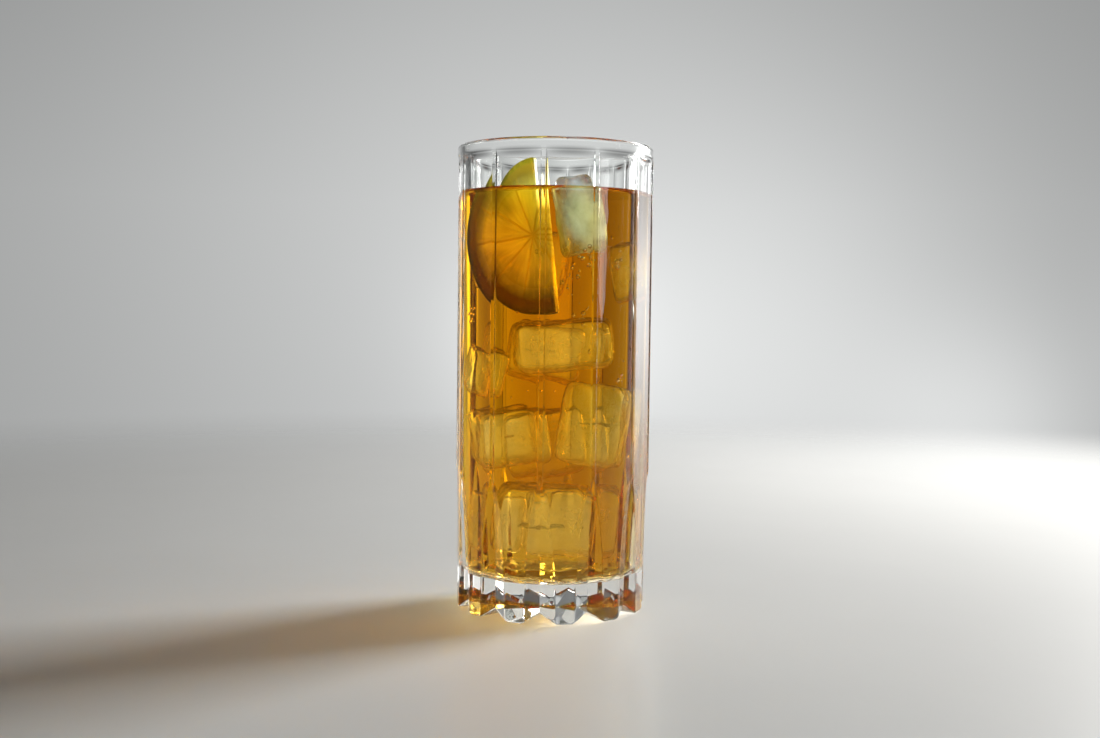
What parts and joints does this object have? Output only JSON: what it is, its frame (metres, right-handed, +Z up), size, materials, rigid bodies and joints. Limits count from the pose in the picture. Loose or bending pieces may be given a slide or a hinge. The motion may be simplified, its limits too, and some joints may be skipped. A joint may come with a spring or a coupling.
{
  "type": "gin highball",
  "caption": "Tall panelled highball glass filled with an amber iced drink, with a lime half wheel standing in it and ice at the surface.",
  "frame": {"origin": "centre of the glass's foot, on the surface it stands on", "axes": "+Z up along the glass's axis, -Y towards the side the picture shows, +X to that view's right"},
  "size_m": [0.066, 0.066, 0.155],
  "materials": {
    "clear_glass": "fire-polished clear pressed glass",
    "amber_drink": "clear amber liquid",
    "ice": "wet melting ice",
    "lime": "wet citrus flesh and waxy rind"
  },
  "bodies": {
    "root": {"glass": "clear_glass", "drink": "amber_drink", "ice_cube": "ice", "lime_half_wheel": "lime"}
  },
  "joints": []
}
